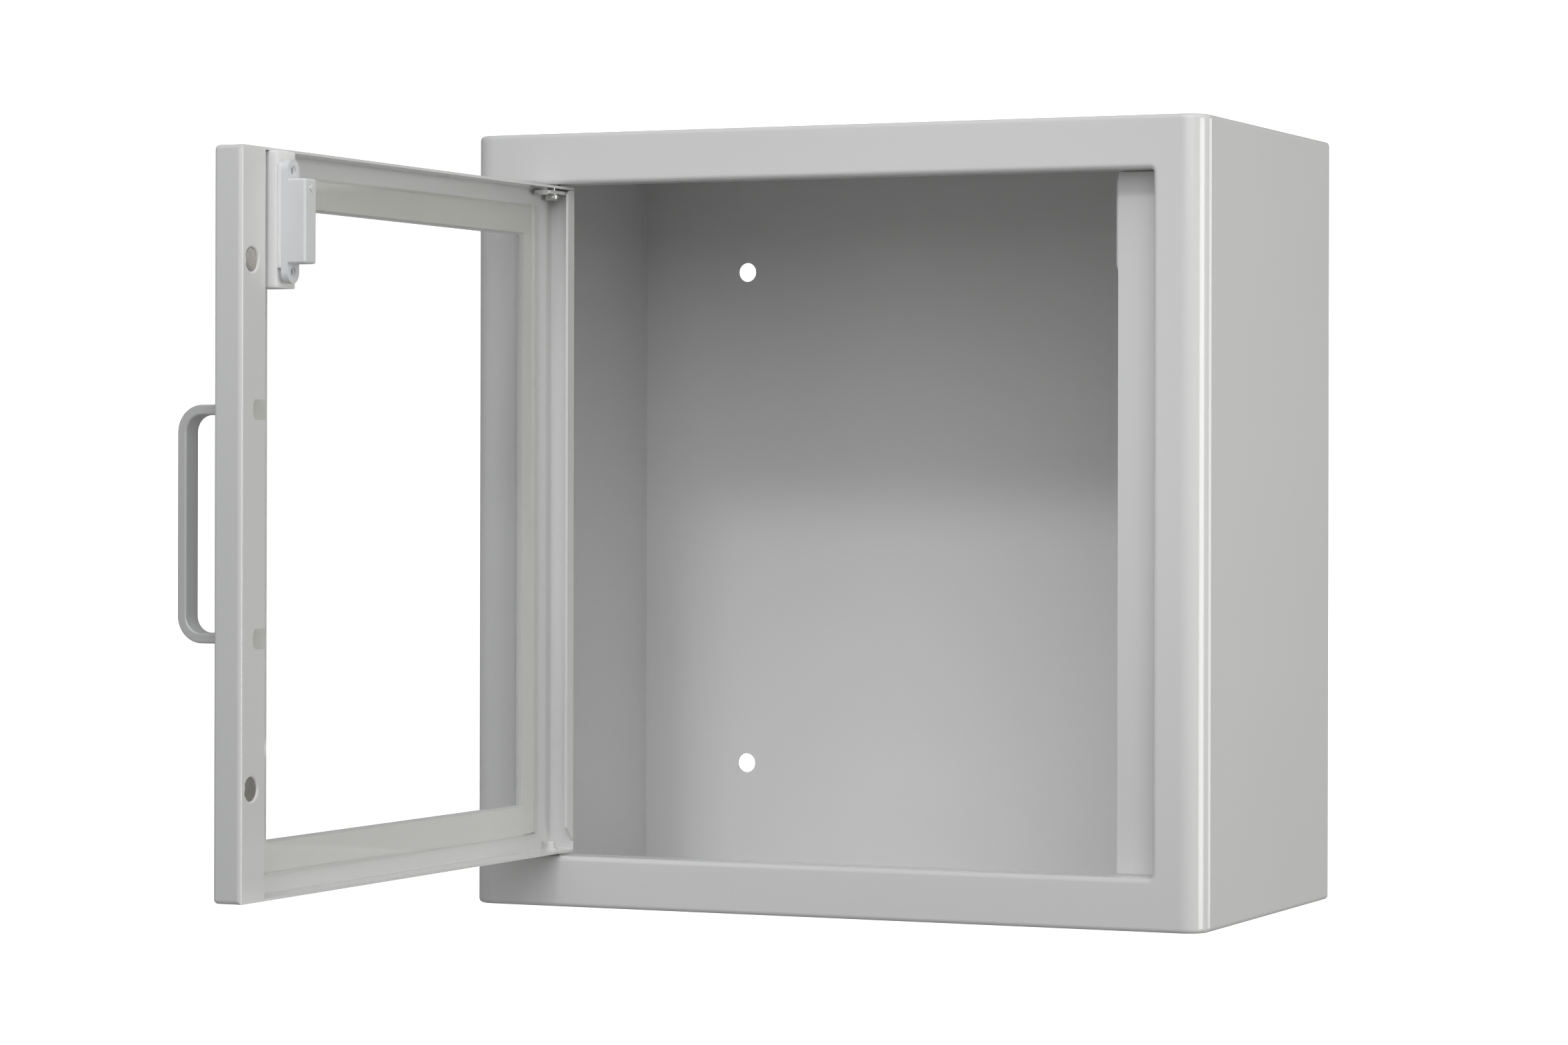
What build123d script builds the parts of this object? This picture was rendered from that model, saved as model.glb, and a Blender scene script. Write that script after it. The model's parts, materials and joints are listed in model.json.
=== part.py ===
"""Glazed steel wall cabinet with a hinged door and a magnetic door alarm.

Millimetres. The origin is the centre of the four wall holes, on the rear face.
+X is to the right of a person who faces the cabinet, +Y goes into the wall, +Z is up.
The door and all that is on it are drawn shut, then turned open about the pivots.
"""

import os

from build123d import *

# ---- cabinet ----
CABINET_WIDTH = 380.0
CABINET_HEIGHT = 380.0
CABINET_DEPTH = 200.0
SHEET = 1.2                     # steel of the cabinet and of the door
FRONT_EDGE_RADIUS = 11.0        # the two upright front edges
FOLD_RADIUS = 2.2               # every other outer fold of the cabinet
FRAME_BORDER = 25.0             # front face left around the opening
OPENING_CORNER_RADIUS = 2.0
OPENING_BEND_RADIUS = 2.5       # where the front face turns into the opening
OPENING_FLANGE = 15.0           # how far the opening's edge is turned inwards
WALL_HOLE_SPACING = 260.0       # square pattern
WALL_HOLE_RADIUS = 5.0

# ---- strike rail, an angle welded behind the opening's right side ----
RAIL_FACE_SHOWN = 22.4          # width of its face inside the opening
RAIL_WELD_LEG = 11.0
RAIL_FOLD_RADIUS = 1.8
RAIL_END_GAP = 0.4

# ---- door pan ----
DOOR_THICKNESS = 14.0
DOOR_GAP_HINGE = 6.0
DOOR_GAP_FREE = 4.5
DOOR_GAP_ENDS = 1.2             # above and below
DOOR_FOLD_RADIUS = 2.0
FREE_LIP = 20.0
HINGE_LIP = 8.4
HINGE_LIP_TOP_GAP = 1.5
HINGE_LIP_BOTTOM_GAP = 5.0
LIP_CORNER_RADIUS = 2.0
WINDOW_BORDER_HINGE = 35.8
WINDOW_BORDER_FREE = 42.0
WINDOW_BORDER_END = 24.7
WINDOW_CORNER_RADIUS = 1.0
TOOL_NOTCH_WIDTH = 9.0
TOOL_NOTCH_DEPTH = 10.0
TOOL_NOTCH_RADIUS = 3.0
PIVOT_FROM_EDGE = 9.9           # to the hinge edge of the door
PIVOT_FROM_FRONT = 6.0          # to the face of the shut door
OPEN_ANGLE = 90.4               # as drawn, from shut

# ---- window pane and its tape ----
PANE_THICKNESS = 2.0
PANE_FROM_ENDS = 9.5            # pane edge to door edge, above and below
PANE_FROM_HINGE_EDGE = 20.0
PANE_FROM_FREE_EDGE = 22.0
TAPE_WIDTH = 14.0               # above and below
TAPE_WIDTH_HINGE = 12.4
TAPE_THICKNESS = 0.8
PANE_CORNER_RADIUS = 1.0

# ---- pull handle ----
HANDLE_HEIGHT = 103.8
HANDLE_REACH = 24.0
HANDLE_THICKNESS = 4.5
HANDLE_WIDTH = 10.5
HANDLE_CORNER_RADIUS = 12.0
HANDLE_EDGE_RADIUS = 0.9
HANDLE_FROM_EDGE = 15.0
HANDLE_SCREW_RADIUS = 1.5
HANDLE_SCREW_IN_LEG = 9.0

# ---- screws in general ----
SCREW_CLEARANCE = 0.2           # radial, hole to shank
RECESS_SHARE = 0.55             # cross recess, as a share of the head

# ---- pivots ----
PIVOT_RADIUS = 2.0
PIVOT_RUNNING_FIT = 0.05        # radial
PIVOT_PLAY = 0.3                # end play between door and cabinet
PIVOT_WASHER_RADIUS = 4.0
UPPER_SCREW_HEAD_RADIUS = 3.7
UPPER_SCREW_HEAD_HEIGHT = 2.5
UPPER_SCREW_TIP = 1.0           # beyond the nut
NUT_ACROSS_FLATS = 7.0
NUT_HEIGHT = 3.2
HINGE_PLATE_THICKNESS = 1.6
HINGE_PLATE_GAP = 0.9           # to the door's upper flange, filled by the rivet's collar
HINGE_PLATE_END_GAP = 0.6       # to the inside of the door's hinge edge
HINGE_PLATE_CLEARANCE = 0.1     # to the inside of the door's folds
HINGE_PLATE_LENGTH = 24.0
RIVET_FROM_PIVOT = 12.0
RIVET_RADIUS = 1.5
RIVET_COLLAR_RADIUS = 2.4
RIVET_HEAD_RADIUS = 2.6
RIVET_HEAD_HEIGHT = 0.6
LOWER_PIN_ABOVE_BUSH = 3.2
LOWER_PIN_HEAD_RADIUS = 3.4
LOWER_PIN_HEAD_HEIGHT = 1.5
BUSH_WALL = 1.0
BUSH_COLLAR_RADIUS = 3.3
BUSH_COLLAR_HEIGHT = 0.9

# ---- closing magnets in the free lip ----
CLOSING_MAGNET_RADIUS = 5.0
CLOSING_MAGNET_HEIGHT = 114.5   # above and below the middle of the door
CLOSING_MAGNET_FROM_EDGE = 9.0
CLOSING_MAGNET_LENGTH = 4.0
CLOSING_MAGNET_FLANGE = 1.2     # flange beyond the magnet's radius
CLOSING_MAGNET_FLANGE_THICKNESS = 0.8
CLOSING_MAGNET_CLEARANCE = 0.2
CLOSING_MAGNET_SUNK = 0.6
CLOSING_MAGNET_EDGE = 0.3
MAGNET_RIM_RADIUS = 1.1         # rounding of the lip around a magnet

# ---- alarm magnet on the door: foam block, foam pad, plastic case, bar magnet ----
FOAM_FROM_FREE_EDGE = 23.0
FOAM_WIDTH = 16.0
FOAM_HEIGHT = 60.0
FOAM_DEPTH = 14.0
PAD_THICKNESS = 2.0
PAD_HEIGHT = 46.0
PAD_BELOW_FOAM_TOP = 5.3
MAGNET_CASE_HEIGHT = 54.0
MAGNET_CASE_WIDTH = 10.0
MAGNET_CASE_DEPTH = 12.0
MAGNET_CASE_BLOCK = 37.0        # height of the tall middle of the case
MAGNET_CASE_BELOW_FOAM_TOP = 4.0
MAGNET_CASE_WALL = 1.6
MAGNET_CASE_EDGE_RADIUS = 1.2
EAR_THICKNESS = 3.3
EAR_HOLE_RADIUS = 1.6
EAR_SINK_RADIUS = 2.3
EAR_SINK_DEPTH = 1.0
BAR_MAGNET_LENGTH = 28.0
BAR_MAGNET_THICKNESS = 6.0
MARK_SIZE = 3.2                 # raised arrow that shows the sensing side
MARK_BELOW_TOP = 4.4            # middle of the arrow to the top of the case's block
MARK_RELIEF = 0.4

# ---- alarm unit behind the strike rail ----
ALARM_LEFT_OF_RAIL = 2.0
ALARM_WIDTH = 42.0
ALARM_HEIGHT = 53.0
ALARM_DEPTH = 16.0
ALARM_BELOW_TOP = -2.0          # its top edge, below the opening's top edge
ALARM_CORNER_RADIUS = 8.0
ALARM_EDGE_RADIUS = 1.2
ALARM_TAPE_THICKNESS = 1.0
ALARM_TAPE_WIDTH = 18.0
ALARM_TAPE_MARGIN = 5.0
ALARM_BASE_THICKNESS = 1.8
ALARM_WALL = 1.5
ALARM_REAR_WALL = 2.0
BOSS_RADIUS = 2.6
ALARM_SCREW_RADIUS = 1.1
ALARM_SCREW_HEAD_RADIUS = 2.0
ALARM_SCREW_HEAD_HEIGHT = 1.0
ALARM_SCREW_IN_BOSS = 7.0
BOARD_THICKNESS = 1.0
BOARD_MARGIN = 0.6
BOARD_POST_HEIGHT = 3.0
BOARD_POST_RADIUS = 1.8
CELL_RADIUS = 5.2
CELL_LENGTH = 5.4
CELL_FROM_WALL = 4.3            # leaves room for the contact and its tab
CELL_CLEARANCE = 0.3
CONTACT_THICKNESS = 0.4
CONTACT_TAB = 1.6
SOUNDER_RADIUS = 9.5
SOUNDER_WALL = 1.0
SOUNDER_DISC_THICKNESS = 0.5
SOUND_HOLE_RADIUS = 0.9
SOUND_HOLE_COUNT = 6
SOUND_HOLE_CIRCLE = 4.2
REED_RADIUS = 1.1
REED_LENGTH = 13.0
REED_LEAD_RADIUS = 0.3
REED_LEAD_LENGTH = 3.0
COVER_CLEARANCE = 0.3           # battery cover to its opening
COVER_SIDE_MARGIN = 2.0         # battery cover beyond the row of cells
COVER_HEIGHT = 18.0
TONGUE = 0.8
TONGUE_THICKNESS = 0.6
TONGUE_CLEARANCE = 0.2
RIB_WIDTH = 0.9
RIB_RELIEF = 0.4
RIB_COUNT = 4
SWITCH_BODY = 8.0
SWITCH_BODY_HEIGHT = 3.6
SWITCH_BODY_DEPTH = 5.0
SWITCH_TRAVEL = 3.0
SWITCH_KNOB = 2.4
SWITCH_KNOB_REACH = 1.8
SWITCH_KNOB_CLEARANCE = 0.3
SWITCH_FROM_CELLS = 1.0

# ---- places worked out from the sizes ----
FRONT = -CABINET_DEPTH
OPENING_X = CABINET_WIDTH / 2 - FRAME_BORDER
OPENING_Z = CABINET_HEIGHT / 2 - FRAME_BORDER
DOOR_LEFT = -OPENING_X + DOOR_GAP_HINGE
DOOR_RIGHT = OPENING_X - DOOR_GAP_FREE
DOOR_Z = OPENING_Z - DOOR_GAP_ENDS
DOOR_BACK = FRONT + DOOR_THICKNESS
PIVOT_X = DOOR_LEFT + PIVOT_FROM_EDGE
PIVOT_Y = FRONT + PIVOT_FROM_FRONT
HINGE_PLATE_Y = FRONT + DOOR_THICKNESS / 2
HINGE_PLATE_BOTTOM = DOOR_Z - SHEET - HINGE_PLATE_GAP - HINGE_PLATE_THICKNESS
HINGE_PLATE_WIDTH = DOOR_THICKNESS - 2 * (DOOR_FOLD_RADIUS + HINGE_PLATE_CLEARANCE)
RAIL_FACE = FRONT + OPENING_FLANGE + RAIL_FOLD_RADIUS - SHEET
RAIL_LEFT = OPENING_X - RAIL_FACE_SHOWN
PANE_LEFT = DOOR_LEFT + PANE_FROM_HINGE_EDGE
PANE_RIGHT = DOOR_RIGHT - PANE_FROM_FREE_EDGE
PANE_Z = DOOR_Z - PANE_FROM_ENDS
TAPE_FRONT = FRONT + SHEET
PANE_FRONT = TAPE_FRONT + TAPE_THICKNESS
PANE_BACK = PANE_FRONT + PANE_THICKNESS
HANDLE_X = DOOR_RIGHT - HANDLE_FROM_EDGE
HANDLE_SCREW_Z = (HANDLE_HEIGHT - HANDLE_THICKNESS) / 2
MAGNET_X = DOOR_RIGHT - CLOSING_MAGNET_FROM_EDGE
FOAM_RIGHT = DOOR_RIGHT - FOAM_FROM_FREE_EDGE
FOAM_TOP = DOOR_Z - SHEET
FOAM_BACK = PANE_BACK + FOAM_DEPTH
PAD_BACK = FOAM_BACK + PAD_THICKNESS
MAGNET_CASE_TOP = FOAM_TOP - MAGNET_CASE_BELOW_FOAM_TOP
MAGNET_CASE_MIDDLE = MAGNET_CASE_TOP - MAGNET_CASE_HEIGHT / 2
MAGNET_CASE_X = FOAM_RIGHT - MAGNET_CASE_WIDTH / 2
ALARM_LEFT = RAIL_LEFT - ALARM_LEFT_OF_RAIL
ALARM_RIGHT = ALARM_LEFT + ALARM_WIDTH
ALARM_TOP = OPENING_Z - ALARM_BELOW_TOP
ALARM_BOTTOM = ALARM_TOP - ALARM_HEIGHT
ALARM_FRONT = RAIL_FACE + SHEET + ALARM_TAPE_THICKNESS
ALARM_BACK = ALARM_FRONT + ALARM_DEPTH
ALARM_INSIDE = ALARM_FRONT + ALARM_BASE_THICKNESS
ALARM_ROOF = ALARM_BACK - ALARM_REAR_WALL
CELL_LEFT = ALARM_LEFT + ALARM_WALL + CELL_FROM_WALL
SWITCH_ROOM = SWITCH_BODY + SWITCH_FROM_CELLS + CONTACT_THICKNESS + CONTACT_TAB
CELL_ROOM = ALARM_RIGHT - ALARM_CORNER_RADIUS - SWITCH_ROOM - CELL_LEFT
CELL_COUNT = int(CELL_ROOM // CELL_LENGTH)
CELL_ROW = CELL_COUNT * CELL_LENGTH
CELL_Z = ALARM_BOTTOM + ALARM_WALL + CELL_RADIUS + 3 * CELL_CLEARANCE
CELL_Y = ALARM_INSIDE + CELL_RADIUS + CELL_CLEARANCE
BATTERY_OPENING_LEFT = CELL_LEFT - COVER_SIDE_MARGIN
BATTERY_OPENING_RIGHT = CELL_LEFT + CELL_ROW + COVER_SIDE_MARGIN
BATTERY_OPENING_TOP = ALARM_BOTTOM + COVER_HEIGHT
BOARD_FRONT = ALARM_INSIDE + BOARD_POST_HEIGHT
BOARD_BACK = BOARD_FRONT + BOARD_THICKNESS
BOARD_BOTTOM = BATTERY_OPENING_TOP + TONGUE + BOARD_MARGIN
BOARD_LEFT = ALARM_LEFT + ALARM_WALL + BOARD_MARGIN
BOARD_RIGHT = ALARM_RIGHT - ALARM_WALL - BOARD_MARGIN
BOARD_TOP = ALARM_TOP - ALARM_WALL - BOARD_MARGIN
SOUNDER_X = BOARD_RIGHT - SOUNDER_RADIUS - ALARM_WALL
SOUNDER_Z = (BOARD_BOTTOM + BOARD_TOP) / 2
CELL_TAB_END = CELL_LEFT + CELL_ROW + CONTACT_THICKNESS + CONTACT_TAB
SWITCH_X = CELL_TAB_END + SWITCH_FROM_CELLS + SWITCH_BODY / 2
SWITCH_Y = (ALARM_INSIDE + ALARM_ROOF) / 2


def block(x0, x1, y0, y1, z0, z1):
    """A box between two corners."""
    centre = Pos((x0 + x1) / 2, (y0 + y1) / 2, (z0 + z1) / 2)
    return centre * Box(x1 - x0, y1 - y0, z1 - z0)


def rod_y(x, z, y0, y1, radius):
    """A round bar along Y."""
    return Pos(x, (y0 + y1) / 2, z) * Rot(90, 0, 0) * Cylinder(radius, y1 - y0)


def rod_z(x, y, z0, z1, radius):
    """A round bar along Z."""
    return Pos(x, y, (z0 + z1) / 2) * Cylinder(radius, z1 - z0)


def rod_x(y, z, x0, x1, radius):
    """A round bar along X."""
    return Pos((x0 + x1) / 2, y, z) * Rot(0, 90, 0) * Cylinder(radius, x1 - x0)


def slab_y(outline, x, z, y0, y1):
    """A flat outline, drawn as X and Z, made solid from y0 to y1."""
    return extrude(Pos(x, y1, z) * Rot(90, 0, 0) * outline, y1 - y0)


def edges_at(shape, axis, place):
    """The edges that lie wholly at one place on an axis."""
    return shape.edges().filter_by_position(axis, place - 1e-3, place + 1e-3)


def cross_recess(radius, depth):
    """The screwdriver's cross, centred on the origin and sunk along Z."""
    arm = 2 * radius * RECESS_SHARE
    return Box(arm, arm / 4, 2 * depth) + Box(arm / 4, arm, 2 * depth)


def pan_head(radius, height):
    """A domed screw head that stands on the XY plane, with its cross on top."""
    head = Pos(0, 0, height / 2) * Cylinder(radius, height)
    head = fillet(head.edges().sort_by(Axis.Z)[-1], height * 0.45)
    return head - Pos(0, 0, height) * cross_recess(radius, height / 2)


# ------------------------------------------------------------------ cabinet
def cabinet_form(inset, rear):
    """The cabinet's outside, or the room in it when inset by the sheet, as far as a rear plane."""
    half_x = CABINET_WIDTH / 2 - inset
    half_z = CABINET_HEIGHT / 2 - inset
    form = block(-half_x, half_x, FRONT + inset, rear, -half_z, half_z)
    upright = edges_at(form, Axis.Y, FRONT + inset).filter_by(Axis.Z)
    return fillet(upright, FRONT_EDGE_RADIUS - inset)


def cabinet_outside():
    """The whole outside, with its folds rounded."""
    form = cabinet_form(0, 0)
    folds = form.edges() - form.edges().filter_by(Axis.Z)
    folds += edges_at(form, Axis.Y, 0).filter_by(Axis.Z)
    return fillet(folds, FOLD_RADIUS)


def cabinet_inside():
    """The room inside, with its folds rounded, run on past the rear."""
    rear = 2 * SHEET
    form = cabinet_form(SHEET, rear)
    folds = form.edges() - form.edges().filter_by(Axis.Z) - edges_at(form, Axis.Y, rear)
    return fillet(folds, FOLD_RADIUS - SHEET)


def opening_form(outset, y0, y1):
    """A plug of the opening's outline, grown by an outset."""
    outline = RectangleRounded(
        2 * (OPENING_X + outset), 2 * (OPENING_Z + outset), OPENING_CORNER_RADIUS + outset
    )
    return slab_y(outline, 0, 0, y0, y1)


def opening_edges(shape, outset):
    """The edges around the opening that lie on the front sheet."""
    reach_x = OPENING_X + outset + 1e-2
    reach_z = OPENING_Z + outset + 1e-2
    around = edges_at(shape, Axis.Y, FRONT + outset)
    around = around.filter_by_position(Axis.X, -reach_x, reach_x)
    return around.filter_by_position(Axis.Z, -reach_z, reach_z)


def cabinet_body():
    """Front, sides, top and bottom in one welded shell, with the edge turned in."""
    body = cabinet_outside() - cabinet_inside()
    body += opening_form(SHEET, FRONT, FRONT + OPENING_FLANGE)
    body -= opening_form(0, FRONT - 1, FRONT + OPENING_FLANGE + 1)
    body = fillet(opening_edges(body, 0), OPENING_BEND_RADIUS)
    body = fillet(opening_edges(body, SHEET), OPENING_BEND_RADIUS - SHEET)
    for end in (-1, 1):
        middle = end * (OPENING_Z + SHEET / 2)
        hole = rod_z(PIVOT_X, PIVOT_Y, middle - SHEET, middle + SHEET, PIVOT_RADIUS)
        body -= hole
    return body


def back_panel():
    """The flat back, welded in flush, with the four wall holes."""
    outline = RectangleRounded(
        CABINET_WIDTH - 2 * SHEET, CABINET_HEIGHT - 2 * SHEET, FOLD_RADIUS - SHEET
    )
    holes = GridLocations(WALL_HOLE_SPACING, WALL_HOLE_SPACING, 2, 2) * Circle(WALL_HOLE_RADIUS)
    outline -= holes
    return slab_y(outline, 0, 0, -SHEET, 0) & cabinet_outside()


def strike_rail():
    """The angle that the door's free lip shuts against."""
    end = OPENING_Z - RAIL_END_GAP
    outer_x = OPENING_X + 2 * SHEET
    back = RAIL_FACE + SHEET
    rail = block(RAIL_LEFT, outer_x, back - RAIL_WELD_LEG, back, -end, end)
    fold = edges_at(rail, Axis.Y, back).filter_by(Axis.Z).sort_by(Axis.X)[-1]
    rail = fillet(fold, RAIL_FOLD_RADIUS)
    room = block(
        RAIL_LEFT - 1, outer_x - SHEET, back - RAIL_WELD_LEG - 1, RAIL_FACE, -end - 1, end + 1
    )
    bend = edges_at(room, Axis.Y, RAIL_FACE).filter_by(Axis.Z).sort_by(Axis.X)[-1]
    return rail - fillet(bend, RAIL_FOLD_RADIUS - SHEET)


# ------------------------------------------------------------------- pivots
def lower_pivot_pin():
    """The headed pin that the door stands on, held in the opening's lower edge."""
    under = -OPENING_Z - SHEET
    top = -DOOR_Z + SHEET + BUSH_COLLAR_HEIGHT + LOWER_PIN_ABOVE_BUSH
    pin = rod_z(PIVOT_X, PIVOT_Y, under, top, PIVOT_RADIUS)
    pin = chamfer(edges_at(pin, Axis.Z, top), PIVOT_RADIUS / 4)
    return pin + rod_z(
        PIVOT_X, PIVOT_Y, under - LOWER_PIN_HEAD_HEIGHT, under, LOWER_PIN_HEAD_RADIUS
    )


def washer(z0, z1):
    """A plain washer around the pivot."""
    ring = rod_z(PIVOT_X, PIVOT_Y, z0, z1, PIVOT_WASHER_RADIUS)
    return ring - rod_z(PIVOT_X, PIVOT_Y, z0 - 1, z1 + 1, PIVOT_RADIUS)


def lower_washer():
    """Keeps the door off the opening's lower edge."""
    return washer(-OPENING_Z, -DOOR_Z - PIVOT_PLAY)


def upper_spacer():
    """Keeps the door off the opening's upper edge."""
    return washer(DOOR_Z + PIVOT_PLAY, OPENING_Z)


def upper_pivot_screw():
    """The pan-head screw that the door's upper end turns on."""
    seat = HINGE_PLATE_BOTTOM - PIVOT_PLAY
    tip = OPENING_Z + SHEET + NUT_HEIGHT + UPPER_SCREW_TIP
    head = pan_head(UPPER_SCREW_HEAD_RADIUS, UPPER_SCREW_HEAD_HEIGHT)
    head = Pos(PIVOT_X, PIVOT_Y, seat) * Rot(180, 0, 0) * head
    return head + rod_z(PIVOT_X, PIVOT_Y, seat, tip, PIVOT_RADIUS)


def upper_pivot_nut():
    """The nut that holds the upper pivot screw."""
    outline = RegularPolygon(NUT_ACROSS_FLATS / 2, 6, major_radius=False)
    nut = extrude(outline - Circle(PIVOT_RADIUS), NUT_HEIGHT)
    return Pos(PIVOT_X, PIVOT_Y, OPENING_Z + SHEET) * nut


def hinge_plate():
    """The plate under the door's upper flange that carries the pivot, round at its far end."""
    near = DOOR_LEFT + SHEET + HINGE_PLATE_END_GAP
    half = HINGE_PLATE_WIDTH / 2
    far = near + HINGE_PLATE_LENGTH - half
    y = HINGE_PLATE_Y
    bottom = HINGE_PLATE_BOTTOM
    top = bottom + HINGE_PLATE_THICKNESS
    plate = block(near, far, y - half, y + half, bottom, top)
    plate += rod_z(far, y, bottom, top, half)
    plate -= rod_z(PIVOT_X, PIVOT_Y, bottom - 1, top + 1, PIVOT_RADIUS + PIVOT_RUNNING_FIT)
    return plate - rod_z(PIVOT_X + RIVET_FROM_PIVOT, y, bottom - 1, top + 1, RIVET_RADIUS)


def hinge_plate_rivet():
    """The collared rivet that holds the plate off the door's upper flange."""
    x, y = PIVOT_X + RIVET_FROM_PIVOT, HINGE_PLATE_Y
    under = HINGE_PLATE_BOTTOM
    rivet = rod_z(x, y, under, DOOR_Z, RIVET_RADIUS)
    rivet += rod_z(x, y, under + HINGE_PLATE_THICKNESS, DOOR_Z - SHEET, RIVET_COLLAR_RADIUS)
    head = rod_z(x, y, under - RIVET_HEAD_HEIGHT, under, RIVET_HEAD_RADIUS)
    head = chamfer(edges_at(head, Axis.Z, under - RIVET_HEAD_HEIGHT), RIVET_HEAD_HEIGHT / 2)
    return rivet + head


def lower_bush():
    """The collared bush in the door's lower flange that runs on the pin."""
    floor = -DOOR_Z
    top = floor + SHEET + BUSH_COLLAR_HEIGHT
    bore = PIVOT_RADIUS + PIVOT_RUNNING_FIT
    bush = rod_z(PIVOT_X, PIVOT_Y, floor, top, bore + BUSH_WALL)
    bush += rod_z(PIVOT_X, PIVOT_Y, floor + SHEET, top, BUSH_COLLAR_RADIUS)
    return bush - rod_z(PIVOT_X, PIVOT_Y, floor - 1, top + 1, bore)


# --------------------------------------------------------------------- door
def door_form(inset):
    """The door's outside, or the room inside it when inset by the sheet."""
    form = block(
        DOOR_LEFT + inset, DOOR_RIGHT - inset,
        FRONT + inset, DOOR_BACK - inset,
        -DOOR_Z + inset, DOOR_Z - inset,
    )
    face = edges_at(form, Axis.Y, FRONT + inset)
    folds = face + form.edges().filter_by(Axis.Y)
    folds += edges_at(form, Axis.Y, DOOR_BACK - inset).filter_by(Axis.Z)
    return fillet(folds, DOOR_FOLD_RADIUS - inset)


def hinge_lip_cuts():
    """What is cut away at both ends of the hinge-side lip."""
    left = DOOR_LEFT + SHEET
    right = DOOR_LEFT + HINGE_LIP
    top = DOOR_Z - HINGE_LIP_TOP_GAP
    bottom = -DOOR_Z + HINGE_LIP_BOTTOM_GAP
    reach = right - left
    upper = Polyline(
        (left, DOOR_Z - SHEET), (right + 1, DOOR_Z - SHEET), (right + 1, top - LIP_CORNER_RADIUS),
        (right, top - LIP_CORNER_RADIUS), (right - LIP_CORNER_RADIUS, top), (left, top), close=True,
    )
    lower = Polyline(
        (left, -DOOR_Z + SHEET), (right + 1, -DOOR_Z + SHEET), (right + 1, bottom + reach),
        (right, bottom + reach), (left, bottom), close=True,
    )
    outlines = make_face(upper) + make_face(lower)
    return slab_y(outlines, 0, 0, DOOR_BACK - SHEET - 0.5, DOOR_BACK + 1)


def tool_notch(z):
    """A rounded notch in the free lip that lets a screwdriver reach the handle."""
    inner = DOOR_RIGHT - FREE_LIP
    outline = RectangleRounded(2 * TOOL_NOTCH_DEPTH, TOOL_NOTCH_WIDTH, TOOL_NOTCH_RADIUS)
    return slab_y(outline, inner, z, DOOR_BACK - SHEET - 0.5, DOOR_BACK + 1)


def door_pan():
    """The folded door: face with its window, four flanges, and a lip down each side."""
    pan = door_form(0) - door_form(SHEET)
    inside = DOOR_BACK - SHEET - 0.5
    pan -= block(
        DOOR_LEFT + HINGE_LIP, DOOR_RIGHT - FREE_LIP,
        inside, DOOR_BACK + 1, -DOOR_Z + SHEET, DOOR_Z - SHEET,
    )
    pan -= hinge_lip_cuts()
    left = DOOR_LEFT + WINDOW_BORDER_HINGE
    right = DOOR_RIGHT - WINDOW_BORDER_FREE
    window = RectangleRounded(
        right - left, 2 * (DOOR_Z - WINDOW_BORDER_END), WINDOW_CORNER_RADIUS
    )
    pan -= slab_y(window, (left + right) / 2, 0, FRONT - 1, FRONT + SHEET + 1)
    magnet_hole = CLOSING_MAGNET_RADIUS + CLOSING_MAGNET_CLEARANCE
    for side in (-1, 1):
        pan -= tool_notch(side * HANDLE_SCREW_Z)
        pan -= rod_y(
            HANDLE_X, side * HANDLE_SCREW_Z, FRONT - 1, FRONT + SHEET + 1,
            HANDLE_SCREW_RADIUS + SCREW_CLEARANCE,
        )
        pan -= rod_y(
            MAGNET_X, side * CLOSING_MAGNET_HEIGHT, inside, DOOR_BACK + 1, magnet_hole
        )
    rims = edges_at(pan, Axis.Y, DOOR_BACK).filter_by(GeomType.CIRCLE)
    rims = [edge for edge in rims if abs(edge.radius - magnet_hole) < 1e-3]
    pan = fillet(rims, MAGNET_RIM_RADIUS)
    bore = PIVOT_RADIUS + PIVOT_RUNNING_FIT
    pan -= rod_z(PIVOT_X, PIVOT_Y, DOOR_Z - SHEET - 1, DOOR_Z + 1, bore + SCREW_CLEARANCE)
    pan -= rod_z(PIVOT_X, PIVOT_Y, -DOOR_Z - 1, -DOOR_Z + SHEET + 1, bore + BUSH_WALL)
    rivet_x = PIVOT_X + RIVET_FROM_PIVOT
    return pan - rod_z(rivet_x, HINGE_PLATE_Y, DOOR_Z - SHEET - 1, DOOR_Z + 1, RIVET_RADIUS)


def window_pane():
    """The clear plastic pane."""
    outline = RectangleRounded(PANE_RIGHT - PANE_LEFT, 2 * PANE_Z, PANE_CORNER_RADIUS)
    return slab_y(outline, (PANE_LEFT + PANE_RIGHT) / 2, 0, PANE_FRONT, PANE_BACK)


def tape(x0, x1, z0, z1):
    """A strip of double-sided tape between the door's face and the pane."""
    return block(x0, x1, TAPE_FRONT, PANE_FRONT, z0, z1)


def tape_top():
    return tape(PANE_LEFT, PANE_RIGHT, PANE_Z - TAPE_WIDTH, PANE_Z)


def tape_hinge_side():
    return tape(PANE_LEFT, PANE_LEFT + TAPE_WIDTH_HINGE, -PANE_Z, PANE_Z - TAPE_WIDTH)


def tape_bottom():
    return tape(PANE_LEFT + TAPE_WIDTH_HINGE, PANE_RIGHT, -PANE_Z, -PANE_Z + TAPE_WIDTH)


def tape_free_side():
    edge = DOOR_RIGHT - WINDOW_BORDER_FREE
    return tape(edge, PANE_RIGHT, -PANE_Z + TAPE_WIDTH, PANE_Z - TAPE_WIDTH)


def handle_screws():
    """Two screws that hold the handle from inside the door."""
    screws = Part()
    seat = FRONT + SHEET
    for side in (-1, 1):
        z = side * HANDLE_SCREW_Z
        head = pan_head(2 * HANDLE_SCREW_RADIUS, HANDLE_SCREW_RADIUS * 1.2)
        screws += Pos(HANDLE_X, seat, z) * Rot(-90, 0, 0) * head
        screws += rod_y(HANDLE_X, z, FRONT - HANDLE_SCREW_IN_LEG, seat, HANDLE_SCREW_RADIUS)
    return screws


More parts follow.
